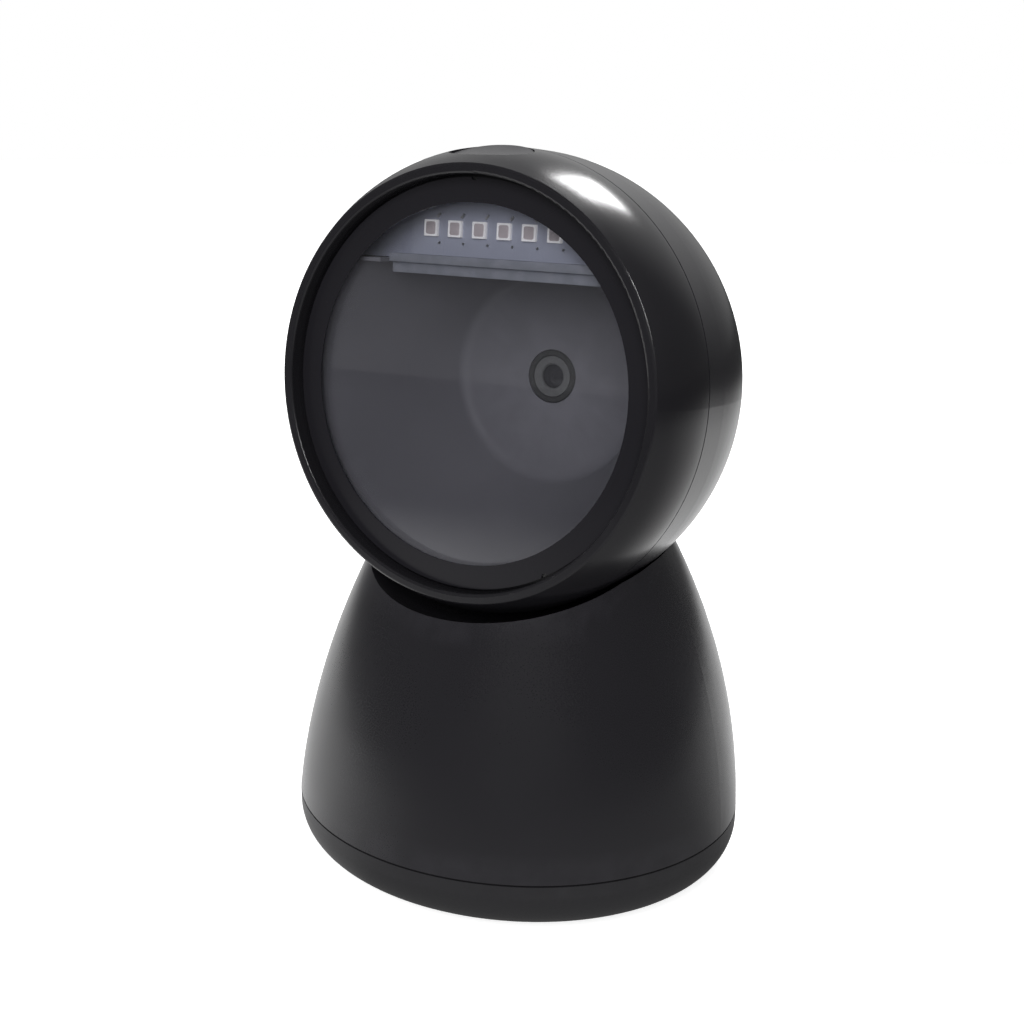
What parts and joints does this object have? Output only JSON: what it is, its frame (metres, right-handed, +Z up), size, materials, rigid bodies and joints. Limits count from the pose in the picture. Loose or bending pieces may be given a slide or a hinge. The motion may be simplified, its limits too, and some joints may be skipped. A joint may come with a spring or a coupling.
{
  "type": "desktop presentation barcode scanner",
  "caption": "Hands-free counter scanner: a round camera head with a clear window tilts in a bell-shaped base, with a top button and a rear cable socket.",
  "frame": {"origin": "centre of the bell-shaped base on the counter plane, under the rubber foot ring", "axes": "+Z up, -Y the way the window faces at rest, +X to the right for someone who faces the window"},
  "size_m": [0.0996, 0.0907, 0.1525],
  "materials": {
    "shell_plastic": "fine satin spark texture, near black",
    "gloss_shell_plastic": "smooth semi-gloss moulding, near black",
    "tray_plastic": "matt moulded texture, near black",
    "button_plastic": "satin, very dark grey",
    "foot_rubber": "soft black rubber",
    "window_clear": "clear hard-coated sheet",
    "window_ink": "opaque black printed border",
    "adhesive": "thin black foam tape",
    "funnel_plastic": "matt dark grey",
    "bay_card": "matt blue-grey",
    "circuit_board": "solder-masked board",
    "led_body": "white reflector body",
    "chip_body": "black moulded package",
    "light_guide": "frosted clear bar",
    "lens_black": "anodised black",
    "lens_ring_metal": "grey turned ring",
    "lens_clear": "coated lens",
    "screw_steel": "zinc plated",
    "ballast_iron": "zinc plated steel slab",
    "neck_steel": "machined steel",
    "connector_plastic": "moulded connector body",
    "contact_brass": "gold flashed contacts",
    "wire_sleeve": "black sleeve over fine wires"
  },
  "bodies": {
    "base": {"ballast_plate": "ballast_iron", "ballast_screws": "screw_steel", "base_harness": "wire_sleeve", "base_plug": "connector_plastic", "base_shell": "shell_plastic", "base_tray": "tray_plastic", "cable_socket": "connector_plastic", "clamp_shoe": "neck_steel", "foot_ring": "foot_rubber", "friction_washer": "neck_steel", "interface_board": "circuit_board", "interface_screws": "screw_steel", "lower_shoe": "neck_steel", "neck_nut": "neck_steel", "neck_stem": "neck_steel", "socket_contacts": "contact_brass", "stem_screws": "screw_steel", "tray_screws": "screw_steel"},
    "head": {"beeper": "chip_body", "board_screws": "screw_steel", "button_switch": "chip_body", "decoder_board": "circuit_board", "decoder_chips": "chip_body", "front_lens": "lens_clear", "head_front_housing": "gloss_shell_plastic", "head_harness": "wire_sleeve", "head_plug": "connector_plastic", "head_rear_cover": "shell_plastic", "head_screws": "screw_steel", "illumination_leds": "led_body", "image_sensor": "chip_body", "led_board": "circuit_board", "led_resistors": "chip_body", "led_screws": "screw_steel", "lens_aperture": "lens_black", "lens_barrel": "lens_black", "lens_holder": "lens_black", "lens_retainer": "lens_ring_metal", "light_bar": "light_guide", "light_cable": "wire_sleeve", "light_reflector": "bay_card", "optic_shroud": "funnel_plastic", "shroud_screws": "screw_steel", "window_adhesive_ring": "adhesive", "window_border": "window_ink", "window_glass": "window_clear"},
    "button": {"mode_button": "button_plastic"},
    "plunger": {"switch_plunger": "connector_plastic"}
  },
  "joints": [
    {"name": "head_tilt", "type": "hinge", "parent": "base", "child": "head", "pos_m": [0, -0.002, 0.1046], "axis": [-1, 0, 0], "range_deg": [-8, 20]},
    {"name": "button_press", "type": "slide", "parent": "head", "child": "button", "axis": [0, 0.1857, -0.9826], "range_m": [0, 0.0007]},
    {"name": "plunger_press", "type": "slide", "parent": "head", "child": "plunger", "axis": [0, -0.0924, -0.9957], "range_m": [0, 0.0007]}
  ],
  "couplings": [
    {"joint": "plunger_press", "follows": "button_press", "ratio": 0.9613}
  ]
}
